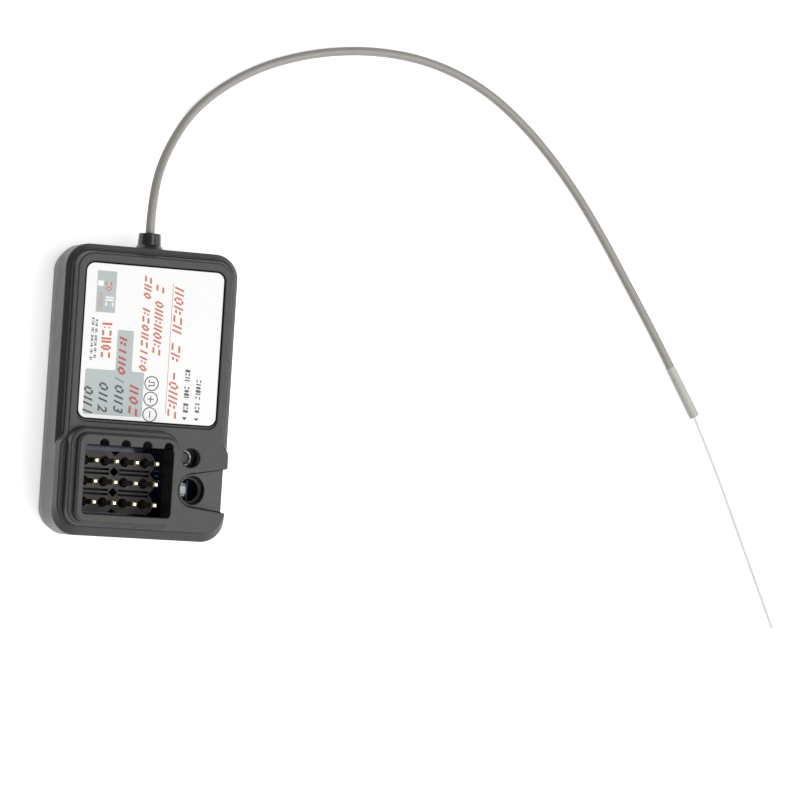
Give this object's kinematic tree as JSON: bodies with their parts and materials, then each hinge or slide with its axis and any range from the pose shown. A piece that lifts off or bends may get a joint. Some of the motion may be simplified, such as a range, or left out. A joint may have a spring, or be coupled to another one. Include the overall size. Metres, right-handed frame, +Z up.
{
  "type": "radio control receiver",
  "caption": "Flat radio control receiver: moulded black box with a printed label, a collar round a well of square pins, a key hole, a light hole with a ramp and a thin aerial.",
  "frame": {"origin": "middle of the flat underside of the housing, at half its width and half its length without the nozzle", "axes": "+X across the box, +Y along it towards the aerial nozzle, +Z up out of the pin well"},
  "size_m": [0.1028, 0.0724, 0.013],
  "materials": {
    "housing_plastic": "fine spark-eroded texture, satin on the tops",
    "label_film": "printed matt film",
    "plated_contact": "bright flash plating, worn at the tips",
    "carrier_plastic": "moulded, slightly glossy",
    "board_laminate": "dark solder mask",
    "key_body_plastic": "moulded",
    "key_sheet_steel": "plated sheet",
    "key_plunger_plastic": "moulded",
    "led_base_plastic": "white laminate",
    "led_lens_resin": "clear cast resin",
    "chip_epoxy": "moulded epoxy",
    "crystal_can": "drawn metal can",
    "capacitor_ceramic": "fired ceramic",
    "resistor_ceramic": "glazed",
    "screw_steel": "black oxide",
    "aerial_jacket": "extruded, satin",
    "aerial_shrink_sleeve": "shrunk tube, satin",
    "aerial_core_plastic": "translucent white",
    "solder": "reflowed solder"
  },
  "bodies": {
    "receiver": {"top_housing": "housing_plastic", "bottom_cover": "housing_plastic", "label": "label_film", "pin_channel_1_signal": "plated_contact", "pin_channel_1_plus": "plated_contact", "pin_channel_1_minus": "plated_contact", "pin_channel_2_signal": "plated_contact", "pin_channel_2_plus": "plated_contact", "pin_channel_2_minus": "plated_contact", "pin_channel_3_signal": "plated_contact", "pin_channel_3_plus": "plated_contact", "pin_channel_3_minus": "plated_contact", "pin_battery_signal": "plated_contact", "pin_battery_plus": "plated_contact", "pin_battery_minus": "plated_contact", "header_block_left": "carrier_plastic", "header_block_right": "carrier_plastic", "circuit_board": "board_laminate", "key_switch_base": "key_body_plastic", "key_switch_cover": "key_sheet_steel", "key_contact_dome": "key_sheet_steel", "status_led_base": "led_base_plastic", "status_led_lens": "led_lens_resin", "radio_chip": "chip_epoxy", "microcontroller": "chip_epoxy", "voltage_regulator": "chip_epoxy", "crystal": "crystal_can", "chip_capacitors": "capacitor_ceramic", "chip_resistors": "resistor_ceramic", "housing_screws": "screw_steel", "aerial_coax": "aerial_jacket", "aerial_lead_inside": "aerial_jacket", "aerial_sleeve": "aerial_shrink_sleeve", "aerial_core": "aerial_core_plastic", "aerial_solder_joints": "solder"},
    "fail_safe_key": {"key_plunger": "key_plunger_plastic"}
  },
  "joints": [
    {"name": "key_travel", "type": "slide", "parent": "receiver", "child": "fail_safe_key", "axis": [0, 0, -1], "range_m": [0, 0.00025], "stiffness_N_per_m": 2000}
  ]
}
